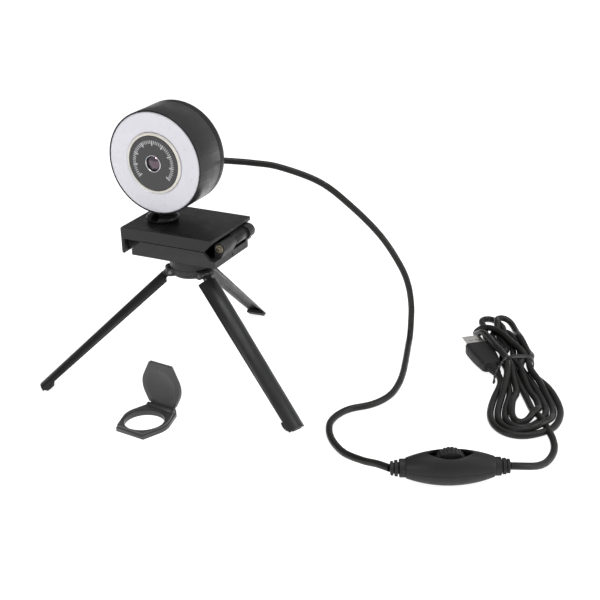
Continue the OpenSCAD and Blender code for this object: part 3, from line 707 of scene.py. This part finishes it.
def make_plug():
    body = [
        (14.0, 7.0, 3.2, 5), (13.9, 7.6, 3.8, 6), (13.3, 7.75, 4.0, 7), (9.0, 7.75, 4.0, 7),
        (8.6, 7.4, 3.75, 7), (8.2, 7.75, 4.0, 7), (1.0, 7.6, 4.0, 6), (-5.0, 7.0, 3.95, 5.5),
        (-8.0, 6.6, 3.9, 5), (-12.0, 6.1, 3.7, 5), (-13.6, 5.6, 3.4, 4), (-14.0, 4.6, 3.0, 3.5),
    ]
    grip = loft_plug("usb_body", body, "rubber_black")
    sleeve = [(-13.8, 3.9, 2.9, 2.6)]
    for k in range(4):
        x, size = -14.2 - 2.3 * k, 1 - 0.1 * k
        sleeve += [(x, 3.8 * size, 3.1 * size, 2.6), (x - 1.3, 3.7 * size, 3.0 * size, 2.6)]
        sleeve += [(x - 1.5, 2.9 * size, 2.5 * size, 2.2), (x - 2.1, 2.85 * size, 2.45 * size, 2.2)]
    sleeve.append((-23.4, 2.15, 2.15, 2))
    relief = loft_plug("usb_relief", sleeve, "rubber_black")
    for piece in (grip, relief):
        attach(piece, "base")
    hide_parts("usb_grip")
    for piece in (grip, relief):
        soften(piece, 0.12, angle=20)
    return grip, relief


def make_tie():
    """A flat plastic-covered wire round the bundle, its two ends twisted together."""
    across, height, middle_y, middle_z = 8.8, 6.3, 4.8, 7.0
    sides, squareness = 64, 0.72
    loop = []
    for k in range(sides + 1):
        a = math.tau * k / sides + math.radians(200)
        y = middle_y + across * bulge(math.cos(a), squareness)
        z = middle_z + height * bulge(math.sin(a), squareness)
        loop.append((TIE_X - 1.4 + 2.8 * k / sides, y, z))
    flat = [
        (1.5, 0.25), (0.5, 0.42), (-0.5, 0.42), (-1.5, 0.25),
        (-1.5, -0.25), (-0.5, -0.4), (0.5, -0.4), (1.5, -0.25),
    ]
    flat = [(a * MM, b * MM) for a, b in flat]
    thin = [(a * 0.55, b * 1.1) for a, b in flat]
    band = sweep("tie_band", to_world(loop), flat, "tie_black")
    tail = curve_through([
        (-9, -1.5, 12.6), (-6, -4.6, 11.2), (-2, -7.2, 9.4),
        (3, -9.4, 8.4), (9, -11, 7.6), (14, -12, 6.0),
    ], 10)
    twist = np.linspace(0, 3.2 * math.tau, len(tail))
    ends = sweep("tie_twist", to_world(tail), thin, "tie_black", twist=twist)
    for piece in (band, ends):
        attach(piece, "base")
    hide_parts("twist_tie")
    return band, ends


plug_pieces = make_plug()
tie_pieces = make_tie()

# ---------------------------------------------------------------- the CAD nodes' finishes

for part in frame["record"]["subparts"]:
    node = nodes[part["node"]]
    node.data.materials.clear()
    node.data.materials.append(LOOKS[part["material_slot"]])

# The radius of each moulded part's edges, in millimetres
ROUNDED = {
    "clip_plate": 0.5, "clip_arm": 0.35, "leg_1": 0.3, "leg_2": 0.3, "leg_3": 0.3,
    "cover_base": 0.25, "cover_lid": 0.25, "neck_stem": 0.3, "hub_base": 0.2, "hub_top": 0.2,
    "dimmer_top": 0.25, "dimmer_base": 0.25, "dimmer_wheel": 0.12, "usb_shell": 0.2,
    "swivel_dome": 0.15, "rear_cover": 0.08, "head_shell": 0.08,
}
for name, width in ROUNDED.items():
    soften(nodes[name], width)

# ---------------------------------------------------------------- marks round the lens


# Angles in degrees, lengths in millimetres
TICKS, LONG_EVERY, FIRST_TICK, TICK_SWEEP = 49, 6, -40, 260
LONG_TICK, SHORT_TICK, TICKS_OUTER = (10.8, 0.42), (11.8, 0.26), 13.8
TICK_SUNK, TICK_HEIGHT = 0.005, 0.03
BOX_FACES = (
    (0, 1, 2, 3), (7, 6, 5, 4), (0, 4, 5, 1), (1, 5, 6, 2), (2, 6, 7, 3), (3, 7, 4, 0),
)


def make_marks():
    """A plain ring of scale ticks on the dark panel, in place of lettering."""
    low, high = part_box("lens_panel")
    centre = (Vector(low) + Vector(high)) / 2
    face_y = low[1] + TICK_SUNK * MM
    verts, faces = [], []
    for k in range(TICKS):
        angle = math.radians(FIRST_TICK + TICK_SWEEP * k / (TICKS - 1))
        inner, half = LONG_TICK if k % LONG_EVERY == 0 else SHORT_TICK
        out = Vector((math.cos(angle), 0, math.sin(angle)))
        side = Vector((-math.sin(angle), 0, math.cos(angle)))
        base = len(verts)
        corners = ((inner, -half), (TICKS_OUTER, -half), (TICKS_OUTER, half), (inner, half))
        for lift in (0.0, TICK_HEIGHT * MM):
            for r, s in corners:
                point = centre + out * (r * MM) + side * (s * MM)
                verts.append((point.x, face_y - lift, point.z))
        faces += [tuple(base + n for n in face) for face in BOX_FACES]
    piece = new_piece("panel_marks", verts, faces, "mark_grey", smooth=False)
    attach(piece, "head")


make_marks()
